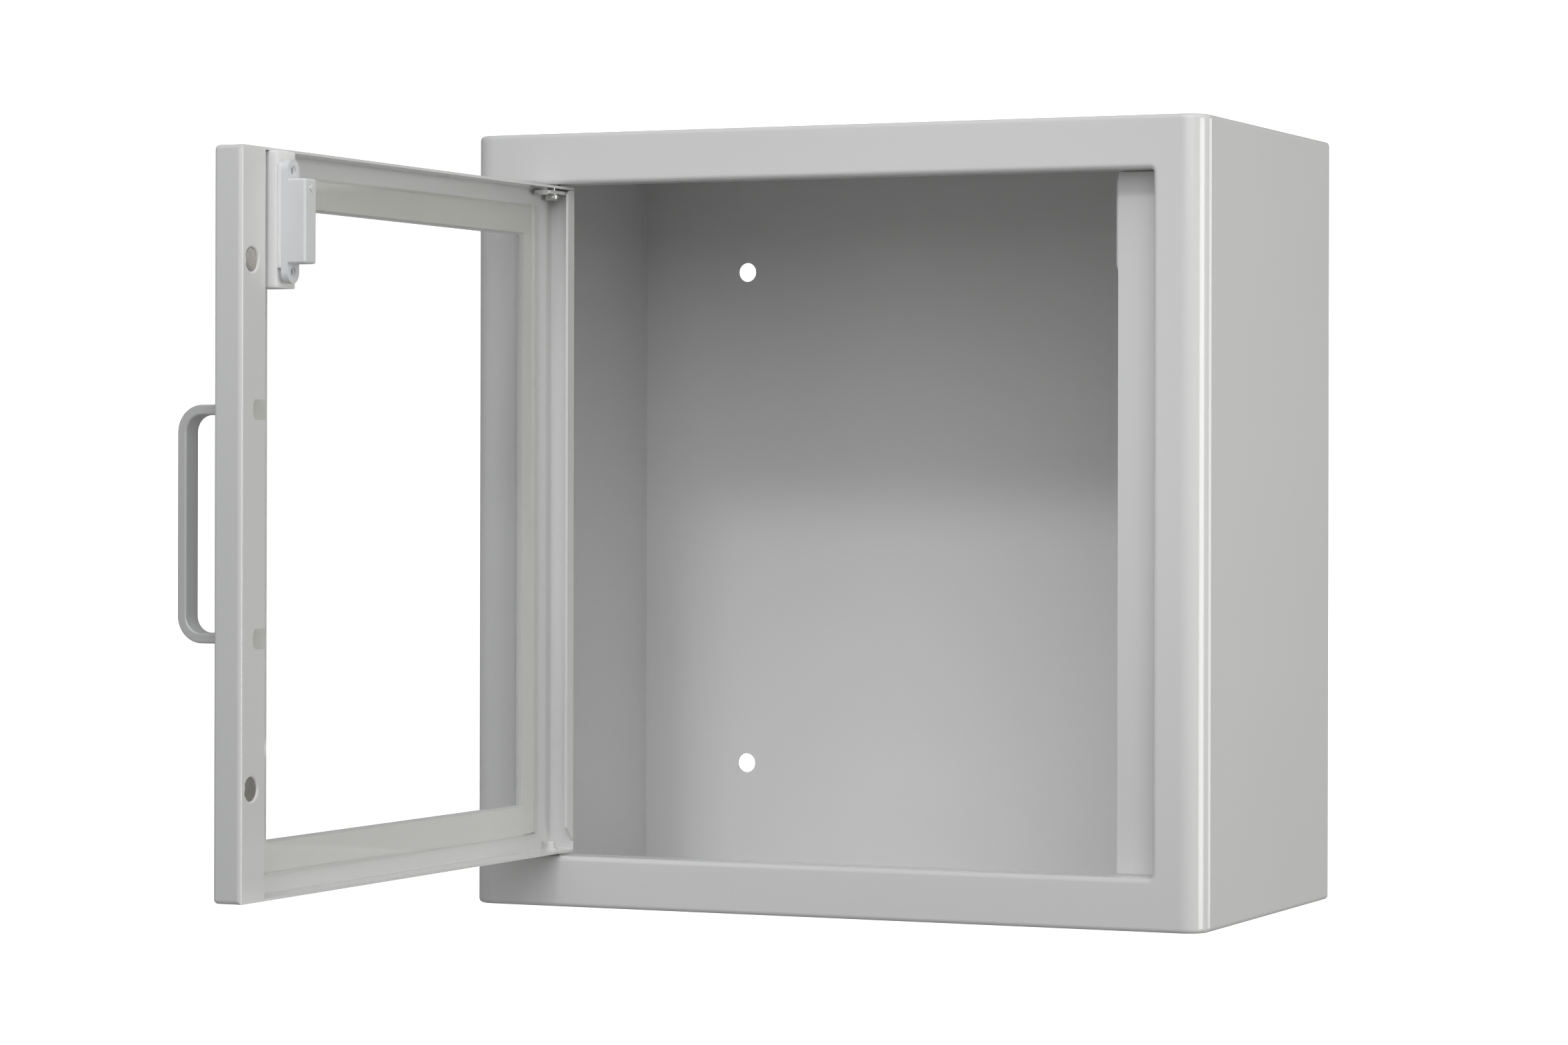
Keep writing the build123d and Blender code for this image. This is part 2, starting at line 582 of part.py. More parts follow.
def handle_bow():
    """The bow of the handle: a flat bar bent twice."""
    half_z = HANDLE_HEIGHT / 2
    half_x = HANDLE_WIDTH / 2
    bar = HANDLE_THICKNESS
    outer = block(
        HANDLE_X - half_x, HANDLE_X + half_x, FRONT - HANDLE_REACH, FRONT, -half_z, half_z
    )
    corners = edges_at(outer, Axis.Y, FRONT - HANDLE_REACH).filter_by(Axis.X)
    outer = fillet(corners, HANDLE_CORNER_RADIUS)
    inner = block(
        HANDLE_X - half_x - 1, HANDLE_X + half_x + 1,
        FRONT - HANDLE_REACH + bar, FRONT + 1, -half_z + bar, half_z - bar,
    )
    corners = edges_at(inner, Axis.Y, FRONT - HANDLE_REACH + bar).filter_by(Axis.X)
    return outer - fillet(corners, HANDLE_CORNER_RADIUS - bar)


def handle():
    """The pull handle, with rounded long edges and tapped feet."""
    bow = handle_bow()
    sides = edges_at(bow, Axis.X, HANDLE_X - HANDLE_WIDTH / 2)
    sides += edges_at(bow, Axis.X, HANDLE_X + HANDLE_WIDTH / 2)
    feet = edges_at(bow, Axis.Y, FRONT)
    bow = fillet([edge for edge in sides if edge not in feet], HANDLE_EDGE_RADIUS)
    for side in (-1, 1):
        bow -= rod_y(
            HANDLE_X, side * HANDLE_SCREW_Z,
            FRONT - HANDLE_SCREW_IN_LEG, FRONT + 1, HANDLE_SCREW_RADIUS,
        )
    return bow


def closing_magnet(side):
    """A nickel-plated magnet set in the free lip, held by its flange."""
    z = side * CLOSING_MAGNET_HEIGHT
    face = DOOR_BACK - CLOSING_MAGNET_SUNK
    magnet = rod_y(MAGNET_X, z, face - CLOSING_MAGNET_LENGTH, face, CLOSING_MAGNET_RADIUS)
    magnet = fillet(edges_at(magnet, Axis.Y, face), CLOSING_MAGNET_EDGE)
    seat = DOOR_BACK - SHEET
    return magnet + rod_y(
        MAGNET_X, z, seat - CLOSING_MAGNET_FLANGE_THICKNESS, seat,
        CLOSING_MAGNET_RADIUS + CLOSING_MAGNET_FLANGE,
    )


def closing_magnet_upper():
    return closing_magnet(1)


def closing_magnet_lower():
    return closing_magnet(-1)


# ------------------------------------------------------ alarm magnet on door
def magnet_foam_block():
    """The thick foam that brings the alarm magnet level with the alarm."""
    return block(
        FOAM_RIGHT - FOAM_WIDTH, FOAM_RIGHT, PANE_BACK, FOAM_BACK,
        FOAM_TOP - FOAM_HEIGHT, FOAM_TOP,
    )


def magnet_foam_pad():
    """The thin pad between the foam block and the magnet's case."""
    top = FOAM_TOP - PAD_BELOW_FOAM_TOP
    return block(
        FOAM_RIGHT - MAGNET_CASE_WIDTH, FOAM_RIGHT, FOAM_BACK, PAD_BACK, top - PAD_HEIGHT, top
    )


def magnet_case_arrow():
    """The raised arrow on the case, which points at the alarm."""
    z = MAGNET_CASE_MIDDLE + MAGNET_CASE_BLOCK / 2 - MARK_BELOW_TOP
    back = PAD_BACK + MAGNET_CASE_DEPTH
    outline = Triangle(a=MARK_SIZE, B=60, C=60, rotation=-90)
    return slab_y(outline, MAGNET_CASE_X, z, back - MAGNET_CASE_WALL / 2, back + MARK_RELIEF)


def magnet_case():
    """The plastic case with an ear at each end, hollow from the door's side."""
    back = PAD_BACK + MAGNET_CASE_DEPTH
    ear_back = PAD_BACK + EAR_THICKNESS
    half = MAGNET_CASE_BLOCK / 2
    left = FOAM_RIGHT - MAGNET_CASE_WIDTH
    outline = SlotOverall(MAGNET_CASE_HEIGHT, MAGNET_CASE_WIDTH, rotation=90)
    case = slab_y(outline, MAGNET_CASE_X, MAGNET_CASE_MIDDLE, PAD_BACK, ear_back)
    middle = block(
        left, FOAM_RIGHT, PAD_BACK, back, MAGNET_CASE_MIDDLE - half, MAGNET_CASE_MIDDLE + half
    )
    rim = edges_at(middle, Axis.Y, back)
    case += fillet(rim + middle.edges().filter_by(Axis.Y), MAGNET_CASE_EDGE_RADIUS)
    hole_from_middle = (MAGNET_CASE_HEIGHT - MAGNET_CASE_WIDTH) / 2
    for side in (-1, 1):
        z = MAGNET_CASE_MIDDLE + side * hole_from_middle
        case -= rod_y(MAGNET_CASE_X, z, PAD_BACK - 1, ear_back + 1, EAR_HOLE_RADIUS)
        case -= rod_y(MAGNET_CASE_X, z, ear_back - EAR_SINK_DEPTH, ear_back + 1, EAR_SINK_RADIUS)
    wall = MAGNET_CASE_WALL
    case -= block(
        left + wall, FOAM_RIGHT - wall, PAD_BACK - 1, back - wall,
        MAGNET_CASE_MIDDLE - half + wall, MAGNET_CASE_MIDDLE + half - wall,
    )
    return case + magnet_case_arrow()


def bar_magnet():
    """The magnet that works the alarm, glued against the case's end wall."""
    back = PAD_BACK + MAGNET_CASE_DEPTH - MAGNET_CASE_WALL
    half = BAR_MAGNET_THICKNESS / 2
    return block(
        MAGNET_CASE_X - half, MAGNET_CASE_X + half, back - BAR_MAGNET_THICKNESS, back,
        MAGNET_CASE_MIDDLE - BAR_MAGNET_LENGTH / 2, MAGNET_CASE_MIDDLE + BAR_MAGNET_LENGTH / 2,
    )


# --------------------------------------------------------------- alarm unit
def alarm_outline(inset):
    """The alarm's rounded outline, inset from its outside."""
    return RectangleRounded(
        ALARM_WIDTH - 2 * inset, ALARM_HEIGHT - 2 * inset, ALARM_CORNER_RADIUS - inset
    )


def alarm_slab(inset, y0, y1):
    """A slice of the alarm between two depths."""
    x = (ALARM_LEFT + ALARM_RIGHT) / 2
    z = (ALARM_TOP + ALARM_BOTTOM) / 2
    return slab_y(alarm_outline(inset), x, z, y0, y1)


def alarm_screw_places():
    """Upper left and lower right, clear of the board's sounder and the cells."""
    reach = ALARM_WALL + BOSS_RADIUS
    return [
        (ALARM_LEFT + reach + 1, ALARM_TOP - ALARM_CORNER_RADIUS / 2 - BOSS_RADIUS),
        (ALARM_RIGHT - reach - 1, ALARM_BOTTOM + ALARM_CORNER_RADIUS / 2 + BOSS_RADIUS),
    ]


def alarm_tape():
    """The foam tape that holds the alarm to the back of the strike rail."""
    left = RAIL_LEFT + ALARM_LEFT_OF_RAIL
    return block(
        left, left + ALARM_TAPE_WIDTH, RAIL_FACE + SHEET, ALARM_FRONT,
        ALARM_BOTTOM + ALARM_TAPE_MARGIN, OPENING_Z - RAIL_END_GAP,
    )


def board_posts():
    """Three posts that the board rests on."""
    left = BOARD_LEFT + 2 * BOARD_POST_RADIUS
    right = BOARD_RIGHT - 2 * BOARD_POST_RADIUS
    low = BOARD_BOTTOM + 2 * BOARD_POST_RADIUS
    high = BOARD_TOP - 2 * BOARD_POST_RADIUS
    return [(left, low), (right, low), (right, high)]


def contact_tab_places():
    """The outer faces of the two contacts, and the way each tab stands from it."""
    left = CELL_LEFT - CONTACT_THICKNESS
    right = CELL_LEFT + CELL_ROW + CONTACT_THICKNESS
    return [(left - CONTACT_TAB, left), (right, right + CONTACT_TAB)]


def alarm_base():
    """The alarm's base plate, with posts for the board and tabs for the contacts."""
    base = alarm_slab(0, ALARM_FRONT, ALARM_INSIDE)
    base = fillet(edges_at(base, Axis.Y, ALARM_FRONT), ALARM_EDGE_RADIUS)
    for x, z in board_posts():
        base += rod_y(x, z, ALARM_INSIDE - 0.5, BOARD_FRONT, BOARD_POST_RADIUS)
    for x0, x1 in contact_tab_places():
        base += block(
            x0, x1, ALARM_INSIDE - 0.5, CELL_Y + CELL_RADIUS / 2,
            CELL_Z - CELL_RADIUS / 2, CELL_Z + CELL_RADIUS / 2,
        )
    for x, z in alarm_screw_places():
        base -= rod_y(
            x, z, ALARM_FRONT - 1, ALARM_INSIDE + 1, ALARM_SCREW_RADIUS + SCREW_CLEARANCE
        )
        base -= rod_y(
            x, z, ALARM_FRONT - 1, ALARM_FRONT + ALARM_SCREW_HEAD_HEIGHT,
            ALARM_SCREW_HEAD_RADIUS + SCREW_CLEARANCE,
        )
    return base


def alarm_screws():
    """Two small screws from the base into the cover's bosses."""
    screws = Part()
    seat = ALARM_FRONT + ALARM_SCREW_HEAD_HEIGHT
    for x, z in alarm_screw_places():
        head = rod_y(x, z, ALARM_FRONT, seat, ALARM_SCREW_HEAD_RADIUS)
        cross = cross_recess(ALARM_SCREW_HEAD_RADIUS, ALARM_SCREW_HEAD_HEIGHT / 2)
        screws += head - Pos(x, ALARM_FRONT, z) * Rot(90, 0, 0) * cross
        screws += rod_y(x, z, seat, ALARM_INSIDE + ALARM_SCREW_IN_BOSS, ALARM_SCREW_RADIUS)
    return screws


def sound_holes():
    """The ring of holes over the sounder."""
    holes = rod_y(SOUNDER_X, SOUNDER_Z, ALARM_ROOF - 1, ALARM_BACK + 1, SOUND_HOLE_RADIUS)
    for spot in PolarLocations(SOUND_HOLE_CIRCLE, SOUND_HOLE_COUNT):
        x = SOUNDER_X + spot.position.X
        z = SOUNDER_Z + spot.position.Y
        holes += rod_y(x, z, ALARM_ROOF - 1, ALARM_BACK + 1, SOUND_HOLE_RADIUS)
    return holes


def battery_opening():
    """The battery cover's opening, open at the bottom, with a groove down each side."""
    low = ALARM_BOTTOM - 1
    opening = block(
        BATTERY_OPENING_LEFT, BATTERY_OPENING_RIGHT,
        ALARM_ROOF - COVER_CLEARANCE, ALARM_BACK + 1, low, BATTERY_OPENING_TOP,
    )
    middle = (ALARM_ROOF + ALARM_BACK) / 2
    half = TONGUE_THICKNESS / 2 + TONGUE_CLEARANCE
    groove = TONGUE + TONGUE_CLEARANCE
    return opening + block(
        BATTERY_OPENING_LEFT - groove, BATTERY_OPENING_RIGHT + groove,
        middle - half, middle + half, low, BATTERY_OPENING_TOP,
    )


def switch_slot():
    """The slot in the alarm's lower wall that the switch knob moves in."""
    gap = SWITCH_KNOB_CLEARANCE
    half = SWITCH_KNOB / 2 + gap
    left = SWITCH_X - SWITCH_TRAVEL / 2 - half
    right = SWITCH_X + SWITCH_TRAVEL / 2 + half
    low = ALARM_BOTTOM - 1
    return block(left, right, SWITCH_Y - half, SWITCH_Y + half, low, ALARM_BOTTOM + 2 * ALARM_WALL)


def alarm_cover_form():
    """The outside of the alarm's cover, with its rear edge rounded."""
    form = alarm_slab(0, ALARM_INSIDE, ALARM_BACK)
    return fillet(edges_at(form, Axis.Y, ALARM_BACK), ALARM_EDGE_RADIUS)


def alarm_cover():
    """The alarm's shell, with sound holes, battery opening, switch slot and bosses."""
    cover = alarm_cover_form()
    cover -= alarm_slab(ALARM_WALL, ALARM_INSIDE - 1, ALARM_ROOF)
    for x, z in alarm_screw_places():
        cover += rod_y(x, z, ALARM_INSIDE, ALARM_ROOF + 0.5, BOSS_RADIUS)
        cover -= rod_y(
            x, z, ALARM_INSIDE - 1, ALARM_INSIDE + ALARM_SCREW_IN_BOSS, ALARM_SCREW_RADIUS
        )
    cover -= sound_holes()
    cover -= battery_opening()
    return cover - switch_slot()


def battery_cover():
    """The sliding cover over the cells, with a tongue down each side and grip ribs."""
    gap = COVER_CLEARANCE
    left = BATTERY_OPENING_LEFT + gap
    right = BATTERY_OPENING_RIGHT - gap
    low = ALARM_BOTTOM
    high = BATTERY_OPENING_TOP - gap
    plate = block(left, right, ALARM_ROOF, ALARM_BACK, low, high)
    middle = (ALARM_ROOF + ALARM_BACK) / 2
    half = TONGUE_THICKNESS / 2
    reach = TONGUE + gap - TONGUE_CLEARANCE
    plate += block(left - reach, right + reach, middle - half, middle + half, low, high)
    plate &= alarm_cover_form()
    for rib in range(RIB_COUNT):
        z = low + (2 * rib + 3) * RIB_WIDTH
        plate += block(
            left + 3 * RIB_WIDTH, right - 3 * RIB_WIDTH, ALARM_BACK - 0.5, ALARM_BACK + RIB_RELIEF,
            z, z + RIB_WIDTH,
        )
    return plate


def alarm_board():
    """The circuit board, cut away round the boss it passes."""
    board = block(BOARD_LEFT, BOARD_RIGHT, BOARD_FRONT, BOARD_BACK, BOARD_BOTTOM, BOARD_TOP)
    keep = alarm_slab(ALARM_WALL + BOARD_MARGIN, BOARD_FRONT, BOARD_BACK)
    boss_x, boss_z = alarm_screw_places()[0]
    hole = rod_y(boss_x, boss_z, BOARD_FRONT - 1, BOARD_BACK + 1, BOSS_RADIUS + BOARD_MARGIN)
    return (board & keep) - hole


def board_parts():
    """The chip, a capacitor and three small parts soldered on the board."""
    x = (BOARD_LEFT + 3 * REED_RADIUS + SOUNDER_X - SOUNDER_RADIUS) / 2
    z = BOARD_BOTTOM + 5.5
    parts = block(x - 2.0, x + 2.0, BOARD_BACK, BOARD_BACK + 1.5, z - 2.5, z + 2.5)
    parts += rod_y(x, z + 7.0, BOARD_BACK, BOARD_BACK + 5.0, 1.8)
    for step in range(3):
        left = x - 2.6 + 2.2 * step
        parts += block(
            left, left + 0.9, BOARD_BACK, BOARD_BACK + 0.6, z + 11.0, z + 12.8
        )
    return parts


def reed_switch():
    """The glass reed switch, upright near the side that the magnet comes to."""
    x = BOARD_LEFT + 2 * REED_RADIUS
    y = BOARD_BACK + REED_RADIUS
    z = BOARD_BOTTOM + REED_LEAD_LENGTH + REED_LENGTH / 2 + 1
    tube = rod_z(x, y, z - REED_LENGTH / 2, z + REED_LENGTH / 2, REED_RADIUS)
    tube = fillet(tube.edges().filter_by(GeomType.CIRCLE), REED_RADIUS * 0.8)
    reach = REED_LENGTH / 2 + REED_LEAD_LENGTH
    return tube + rod_z(x, y, z - reach, z + reach, REED_LEAD_RADIUS)


def sounder_ring():
    """The sounder's round wall, which carries the disc."""
    top = ALARM_ROOF - COVER_CLEARANCE
    ring = rod_y(SOUNDER_X, SOUNDER_Z, BOARD_BACK, top, SOUNDER_RADIUS)
    inner = SOUNDER_RADIUS - SOUNDER_WALL
    ring -= rod_y(SOUNDER_X, SOUNDER_Z, BOARD_BACK - 1, top + 1, inner - SOUNDER_WALL)
    seat = (BOARD_BACK + top) / 2
    return ring - rod_y(SOUNDER_X, SOUNDER_Z, seat, top + 1, inner)


def sounder_disc():
    """The thin brass disc that makes the sound."""
    seat = (BOARD_BACK + ALARM_ROOF - COVER_CLEARANCE) / 2
    radius = SOUNDER_RADIUS - SOUNDER_WALL
    return rod_y(SOUNDER_X, SOUNDER_Z, seat, seat + SOUNDER_DISC_THICKNESS, radius)


def button_cells():
    """The row of button cells, side by side from contact to contact."""
    cells = []
    for number in range(CELL_COUNT):
        left = CELL_LEFT + number * CELL_LENGTH
        rim = left + 0.8 * CELL_LENGTH
        cell = rod_x(CELL_Y, CELL_Z, left, rim, CELL_RADIUS)
        cells.append(cell + rod_x(CELL_Y, CELL_Z, rim, left + CELL_LENGTH, 0.85 * CELL_RADIUS))
    return Compound(children=cells)


def battery_contacts():
    """A thin metal plate at each end of the row of cells."""
    contacts = Part()
    for x0, x1 in ((CELL_LEFT - CONTACT_THICKNESS, CELL_LEFT),
                   (CELL_LEFT + CELL_ROW, CELL_LEFT + CELL_ROW + CONTACT_THICKNESS)):
        contacts += block(
            x0, x1, ALARM_INSIDE, CELL_Y + CELL_RADIUS / 2,
            CELL_Z - CELL_RADIUS / 2, CELL_Z + CELL_RADIUS / 2,
        )
    return contacts


def switch_body():
    """The slide switch's body, behind the alarm's lower wall."""
    low = ALARM_BOTTOM + ALARM_WALL
    half_x = SWITCH_BODY / 2
    half_y = SWITCH_BODY_DEPTH / 2
    body = block(
        SWITCH_X - half_x, SWITCH_X + half_x, SWITCH_Y - half_y, SWITCH_Y + half_y,
        low, low + SWITCH_BODY_HEIGHT,
    )
    return body - switch_slot()


def switch_knob():
    """The knob that turns the alarm on, at the left end of its slot."""
    x = SWITCH_X - SWITCH_TRAVEL / 2
    half = SWITCH_KNOB / 2
    top = ALARM_BOTTOM + 2 * ALARM_WALL - SWITCH_KNOB_CLEARANCE
    low = ALARM_BOTTOM - SWITCH_KNOB_REACH
    knob = block(x - half, x + half, SWITCH_Y - half, SWITCH_Y + half, low, top)
    return fillet(edges_at(knob, Axis.Z, low), SWITCH_KNOB_CLEARANCE)


CABINET_PARTS = [
    cabinet_body, back_panel, strike_rail,
    lower_pivot_pin, lower_washer, upper_spacer, upper_pivot_screw, upper_pivot_nut,
    alarm_tape, alarm_base, alarm_cover, alarm_screws, alarm_board, board_parts, reed_switch,
    sounder_ring, sounder_disc, button_cells, battery_contacts, switch_body,
    battery_cover, switch_knob,
]
DOOR_PARTS = [
    door_pan, window_pane, tape_top, tape_hinge_side, tape_bottom, tape_free_side,
    handle, handle_screws, closing_magnet_upper, closing_magnet_lower,
    hinge_plate, hinge_plate_rivet, lower_bush,
    magnet_foam_block, magnet_foam_pad, magnet_case, bar_magnet,
]


def turned_open(shape):
    """A door part, turned from shut to the drawn angle about the pivots."""
    pivot = Pos(PIVOT_X, PIVOT_Y, 0)
    return pivot * Rot(0, 0, -OPEN_ANGLE) * pivot.inverse() * shape


os.makedirs("parts", exist_ok=True)
for make in CABINET_PARTS:
    export_step(make(), f"parts/{make.__name__}.step")
for make in DOOR_PARTS:
    export_step(turned_open(make()), f"parts/{make.__name__}.step")
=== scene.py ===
"""Studio scene of the glazed wall cabinet: finishes, hand-cut foam pieces, light and camera."""

import json
import math

import bmesh
import bpy
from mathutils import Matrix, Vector, noise


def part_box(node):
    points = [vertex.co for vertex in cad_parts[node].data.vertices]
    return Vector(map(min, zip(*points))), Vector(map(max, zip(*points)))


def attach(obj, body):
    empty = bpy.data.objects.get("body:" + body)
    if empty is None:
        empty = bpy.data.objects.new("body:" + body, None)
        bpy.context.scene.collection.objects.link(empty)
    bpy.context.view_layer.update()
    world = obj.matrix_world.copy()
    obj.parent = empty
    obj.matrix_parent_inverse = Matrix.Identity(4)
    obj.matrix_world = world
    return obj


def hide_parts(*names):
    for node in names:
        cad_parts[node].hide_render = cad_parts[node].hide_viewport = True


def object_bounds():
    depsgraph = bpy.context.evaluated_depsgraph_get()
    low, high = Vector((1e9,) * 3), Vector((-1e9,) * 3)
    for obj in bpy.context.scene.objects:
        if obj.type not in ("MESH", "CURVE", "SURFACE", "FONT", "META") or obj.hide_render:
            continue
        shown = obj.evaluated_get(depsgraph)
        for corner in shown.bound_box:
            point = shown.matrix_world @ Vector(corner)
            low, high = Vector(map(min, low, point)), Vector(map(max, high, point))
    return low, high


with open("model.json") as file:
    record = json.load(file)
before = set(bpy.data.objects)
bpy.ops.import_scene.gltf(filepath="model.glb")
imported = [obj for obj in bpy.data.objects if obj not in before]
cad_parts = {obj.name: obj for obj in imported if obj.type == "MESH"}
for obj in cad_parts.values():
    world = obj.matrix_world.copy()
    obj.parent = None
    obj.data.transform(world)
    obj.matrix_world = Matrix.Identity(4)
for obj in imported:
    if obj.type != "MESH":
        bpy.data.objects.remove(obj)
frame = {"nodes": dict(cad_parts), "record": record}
cad_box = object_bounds()
MM = 0.001
WELD_GAP = 0.001 * MM           # points nearer than this are one point


# ---- finishes ----

class Value:
    """A socket that can be used in sums."""

    def __init__(self, finish, socket):
        self.finish = finish
        self.socket = socket

    def maths(self, operation, *terms):
        return self.finish.add("Math", {"operation": operation}, dict(enumerate(terms)))

    def __add__(self, other):
        return self.maths("ADD", self, other)

    __radd__ = __add__

    def __sub__(self, other):
        return self.maths("SUBTRACT", self, other)

    def __rsub__(self, other):
        return self.maths("SUBTRACT", other, self)

    def __mul__(self, other):
        return self.maths("MULTIPLY", self, other)

    __rmul__ = __mul__

    def __pow__(self, other):
        return self.maths("POWER", self, other)

    def __lt__(self, other):
        return self.maths("LESS_THAN", self, other)

    def __gt__(self, other):
        return self.maths("GREATER_THAN", self, other)

    def clamped(self):
        return self.finish.add("Clamp", {}, {"Value": self})


class Finish:
    """One finish, built node by node on the piece's own coordinates."""

    def __init__(self, name):
        self.material = bpy.data.materials.new(name)
        self.material.use_nodes = True
        self.tree = self.material.node_tree
        self.tree.nodes.clear()
        self.place = self.add("TexCoord", {}, {}, "Object")

    def add(self, kind, settings, inputs, output=0):
        """A node of one type, with its settings and then the values or links of its sockets."""
        node = self.tree.nodes.new("ShaderNode" + kind)
        for name, value in settings.items():
            setattr(node, name, value)
        for name, value in inputs.items():
            if isinstance(value, Value):
                self.tree.links.new(value.socket, node.inputs[name])
            else:
                node.inputs[name].default_value = value
        return Value(self, node.outputs[output]) if node.outputs else None

    def noise(self, size, detail=2.0, rough=0.5, stretch=None):
        """Cloudy noise with features of about that size, from 0 to 1."""
        place = self.place
        if stretch:
            place = self.add("Mapping", {}, {"Vector": place, "Scale": stretch})
        return self.add("TexNoise", {}, {
            "Vector": place, "Scale": 1 / size, "Detail": detail, "Roughness": rough,
        })

    def cells(self, size):
        """Distance to the middle of cells of about that size."""
        return self.add("TexVoronoi", {}, {"Vector": self.place, "Scale": 1 / size}, "Distance")

    def between(self, mask, low, high):
        """A colour that goes from low to high with the mask."""
        return self.add("Mix", {"data_type": "RGBA"}, {0: mask, 6: (*low, 1), 7: (*high, 1)}, 2)

    def mixed(self, mask, low, high):
        """One colour socket over another."""
        return self.add("Mix", {"data_type": "RGBA"}, {0: mask, 6: low, 7: high}, 2)

    def relief(self, height, depth):
        """Bumps of that depth where the height goes from 0 to 1."""
        return self.add("Bump", {}, {"Height": height, "Distance": depth, "Strength": 1.0})

    def surface(self, **sockets):
        """The finished material, from the shader's sockets by name."""
        shader = self.add("BsdfPrincipled", {}, {
            name.replace("_", " "): value for name, value in sockets.items()
        })
        self.add("OutputMaterial", {}, {"Surface": shader})
        return self.material


def powder_coat():
    """Light grey satin powder coat with a fine orange peel."""
    f = Finish("grey_powder_coat")
    peel = f.noise(1.5 * MM, 1.0)
    grain = f.noise(0.35 * MM, 2.0, 0.6)
    cloud = f.noise(90 * MM, 3.0)
    speck = f.cells(7 * MM) < 0.022
    colour = f.between(cloud, (0.745, 0.748, 0.742), (0.77, 0.772, 0.765))
    colour = f.mixed(speck * 0.25, colour, f.between(grain, (0.34, 0.34, 0.33), (0.4, 0.4, 0.39)))
    return f.surface(
        Base_Color=colour,
        Roughness=0.1 + 0.05 * grain + 0.04 * cloud,
        Specular_IOR_Level=0.5,
        Normal=f.relief(peel + 0.1 * grain, 0.006 * MM),
    )


def clear_pane():
    """Polished clear acrylic: gloss that grows at a slant, some light lost, wipe marks and hairs."""
    f = Finish("clear_acrylic")
    wipe = f.noise(26 * MM, 4.0, 0.6, (1, 0.35, 1))
    hair = f.noise(1.2 * MM, 1.0, 0.5, (1, 0.04, 1)) > 0.74
    facing = f.add("LayerWeight", {}, {"Blend": 0.5}, "Facing")
    straight_on = 0.04              # share of light that acrylic reflects straight back
    gloss = straight_on + (1 - straight_on) * facing ** 5
    return f.surface(
        Base_Color=f.between(wipe, (0.93, 0.95, 0.95), (0.97, 0.98, 0.98)),
        Metallic=1.0,
        Roughness=0.03 + 0.03 * wipe,
        Alpha=(0.055 + 0.01 * wipe + 0.012 * hair + gloss).clamped(),
    )


def pane_tape():
    """Olive grey mounting tape, wetted out unevenly behind the pane, with trapped air and dust."""
    f = Finish("olive_grey_tape")
    cloud = f.noise(14 * MM, 3.0)
    weave = f.noise(0.7 * MM, 2.0, 0.6)
    bubble = f.cells(3.4 * MM) < 0.13
    dust = f.cells(2.1 * MM) < 0.045
    colour = f.between(cloud * 0.7 + weave * 0.3, (0.83, 0.83, 0.79), (0.89, 0.89, 0.85))
    colour = f.mixed(bubble * 0.35, colour, f.between(weave, (0.78, 0.78, 0.74), (0.84, 0.84, 0.8)))
    colour = f.mixed(dust * 0.6, colour, f.between(weave, (0.88, 0.88, 0.86), (0.92, 0.92, 0.9)))
    return f.surface(
        Base_Color=colour,
        Roughness=0.5 + 0.2 * cloud,
        Normal=f.relief(weave + bubble, 0.03 * MM),
    )


def satin_silver():
    """Bow handle: silver lacquer over aluminium, with fine metallic grain and finger marks."""
    f = Finish("satin_silver")
    flake = f.noise(0.18 * MM, 1.0)
    cloud = f.noise(18 * MM, 3.0)
    touch = f.noise(6 * MM, 4.0, 0.65)
    return f.surface(
        Base_Color=f.between(flake * 0.6 + cloud * 0.4, (0.62, 0.62, 0.62), (0.72, 0.72, 0.72)),
        Metallic=0.2,
        Roughness=0.3 + 0.1 * touch + 0.06 * flake,
        Normal=f.relief(flake, 0.006 * MM),
    )


def plated_steel(name, low, high, rough, streak):
    """Plated steel with draw lines one way and small knocks."""
    f = Finish(name)
    lines = f.noise(0.25 * MM, 3.0, 0.6, streak)
    cloud = f.noise(3 * MM, 3.0)
    scratch = f.noise(0.6 * MM, 2.0, 0.6, (0.07, 1, 0.9)) > 0.68
    return f.surface(
        Base_Color=f.between(cloud * 0.7 + lines * 0.3, low, high),
        Metallic=1.0,
        Roughness=(rough + 0.14 * lines + 0.12 * scratch).clamped(),
        Normal=f.relief(lines + scratch, 0.008 * MM),
    )


def cut_foam():
    """White closed-cell foam, cut with a blade: open cell rims on every face, with painted shade
    where the surface dips between cells.
    """
    f = Finish("white_cut_foam")
    cell = f.cells(0.36 * MM)
    fine = f.cells(0.18 * MM)
    cloud = f.noise(6 * MM, 2.0)
    pore = cell * 0.8 + fine * 0.4
    return f.surface(
        # the colour darkens where the pore mask is high, which is also where the relief dips: painted
        # shade in the hollows between cell tops
        Base_Color=f.between(pore * 0.8 + cloud * 0.2, (0.95, 0.95, 0.94), (0.89, 0.89, 0.88)),
        Roughness=0.85 + 0.1 * fine,
        Sheen_Weight=0.15,
        Subsurface_Weight=0.15,
        Subsurface_Radius=(1.5 * MM, 1.5 * MM, 1.5 * MM),
        Normal=f.relief(1 - pore, 0.03 * MM),
    )


def moulded_white():
    """White moulded plastic with a fine spark-eroded texture."""
    f = Finish("white_moulded_plastic")
    spark = f.noise(0.32 * MM, 2.0, 0.6)
    flow = f.noise(22 * MM, 3.0)
    return f.surface(
        Base_Color=f.between(flow, (0.76, 0.765, 0.78), (0.80, 0.805, 0.815)),
        Roughness=0.34 + 0.12 * spark,
        Subsurface_Weight=0.12,
        Subsurface_Radius=(1.2 * MM, 1.2 * MM, 1.2 * MM),
        Normal=f.relief(spark, 0.012 * MM),
    )


